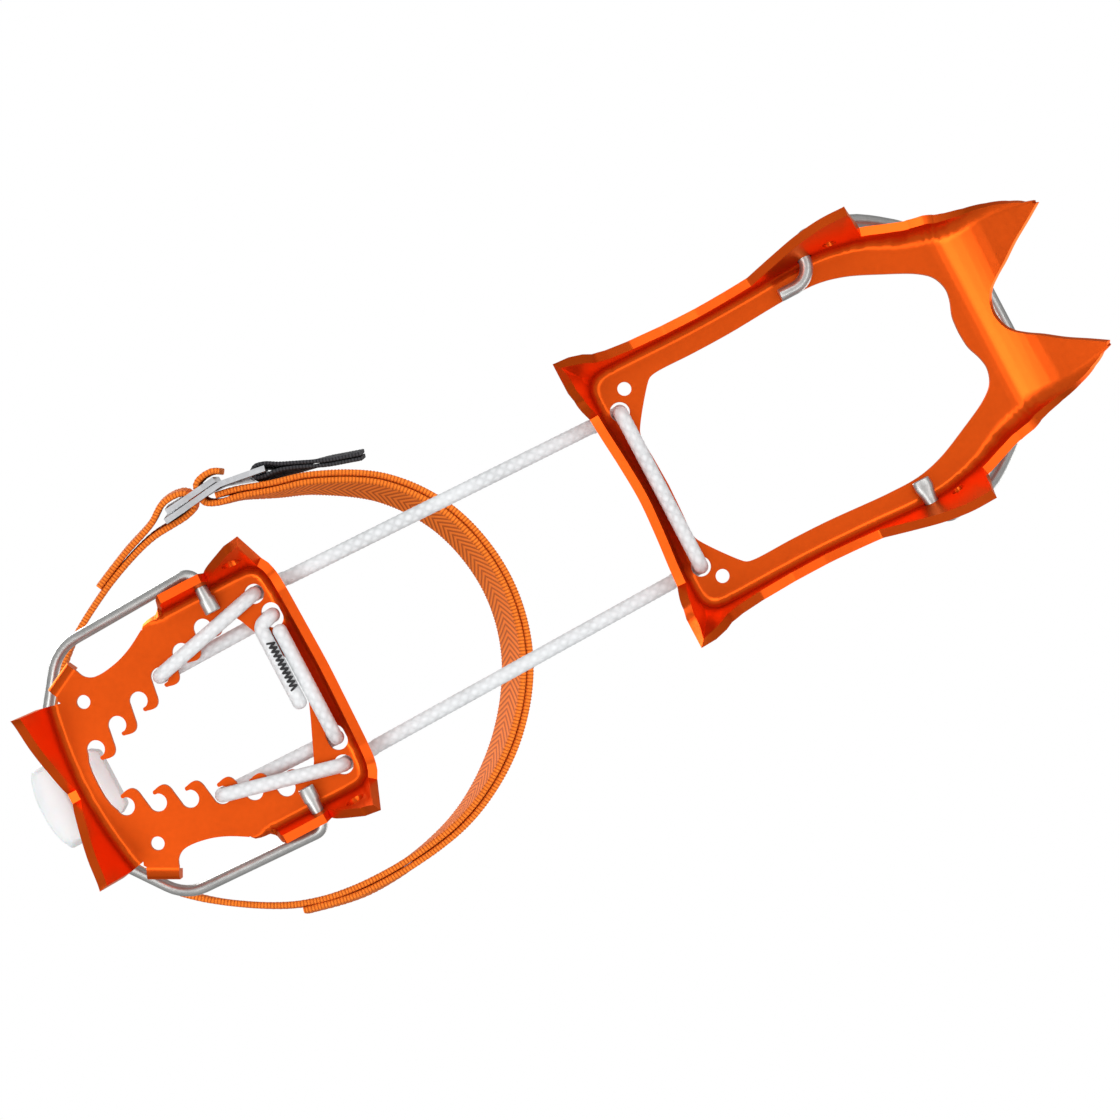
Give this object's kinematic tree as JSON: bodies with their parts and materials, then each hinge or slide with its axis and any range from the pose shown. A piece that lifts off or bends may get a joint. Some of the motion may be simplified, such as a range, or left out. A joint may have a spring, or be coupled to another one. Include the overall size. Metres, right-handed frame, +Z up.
{
  "type": "crampon",
  "caption": "Step-in mountaineering crampon: two spiked sheet frames joined by a cord, with a wire toe bail, a heel lever on a wire and an ankle strap with a ring buckle.",
  "frame": {"origin": "on the ground that the points stand on, below the middle of the whole crampon", "axes": "+X from the heel to the toe, +Y to the wearer's left, +Z up out of the points towards the boot"},
  "size_m": [0.3484, 0.1426, 0.112],
  "materials": {
    "anodised_frame": "glossy orange anodised sheet",
    "steel_wire": "drawn stainless wire",
    "lever_plastic": "fine moulded texture",
    "link_cord": "round white braid",
    "orange_webbing": "ribbed woven webbing",
    "black_webbing": "plain woven webbing",
    "buckle_metal": "tumbled bare metal"
  },
  "bodies": {
    "front_section": {"front_frame": "anodised_frame", "cord_front_bar": "link_cord"},
    "toe_bail": {"toe_bail": "steel_wire"},
    "link_front": {"cord_span_front_left": "link_cord", "cord_span_front_right": "link_cord"},
    "link_heel": {"cord_span_heel_left": "link_cord", "cord_span_heel_right": "link_cord"},
    "heel_section": {"heel_frame": "anodised_frame", "cord_heel_left": "link_cord", "cord_heel_right": "link_cord", "cord_end_left": "link_cord", "cord_end_right": "link_cord"},
    "heel_wire": {"heel_wire": "steel_wire"},
    "heel_lever": {"heel_lever": "lever_plastic", "strap_back": "orange_webbing"},
    "ankle_strap": {"strap_left": "orange_webbing", "strap_right": "orange_webbing", "strap_tail": "orange_webbing", "buckle_short_ring": "buckle_metal", "buckle_long_ring": "buckle_metal"},
    "pull_tab": {"pull_tab": "black_webbing"}
  },
  "joints": [
    {"name": "toe_bail_swing", "type": "hinge", "parent": "front_section", "child": "toe_bail", "pos_m": [0.1083, 0.00103, 0.03], "axis": [0, 1, 0], "range_deg": [-120, 5]},
    {"name": "front_fold", "type": "hinge", "parent": "front_section", "child": "link_front", "pos_m": [0.0294, 0.00103, 0.0385], "axis": [0, 1, 0], "range_deg": [-85, 20], "deforming": ["cord_front_bar", "cord_span_front_left", "cord_span_front_right"]},
    {"name": "length_setting", "type": "slide", "parent": "link_front", "child": "link_heel", "axis": [1, 0, 0], "range_m": [-0.036, 0.054], "deforming": ["cord_span_heel_left", "cord_span_heel_right"]},
    {"name": "heel_fold", "type": "hinge", "parent": "link_heel", "child": "heel_section", "pos_m": [-0.0726, 0.00103, 0.0385], "axis": [0, 1, 0], "range_deg": [-85, 20], "deforming": ["cord_heel_left", "cord_heel_right"]},
    {"name": "heel_wire_swing", "type": "hinge", "parent": "heel_section", "child": "heel_wire", "pos_m": [-0.0957, 0.00103, 0.028], "axis": [0, 1, 0], "range_deg": [-14, 26]},
    {"name": "lever_open", "type": "hinge", "parent": "heel_wire", "child": "heel_lever", "pos_m": [-0.1642, 0.00103, 0.058], "axis": [0, 1, 0], "range_deg": [-110, 8]},
    {"name": "strap_lift", "type": "hinge", "parent": "heel_lever", "child": "ankle_strap", "pos_m": [-0.1698, 0.00103, 0.098], "axis": [0, -1, 0], "range_deg": [-15, 80]},
    {"name": "tab_pull", "type": "hinge", "parent": "ankle_strap", "child": "pull_tab", "pos_m": [-0.0672, -0.06167, 0.098], "axis": [0, 0, -1], "range_deg": [-5, 60], "deforming": ["pull_tab"]}
  ]
}
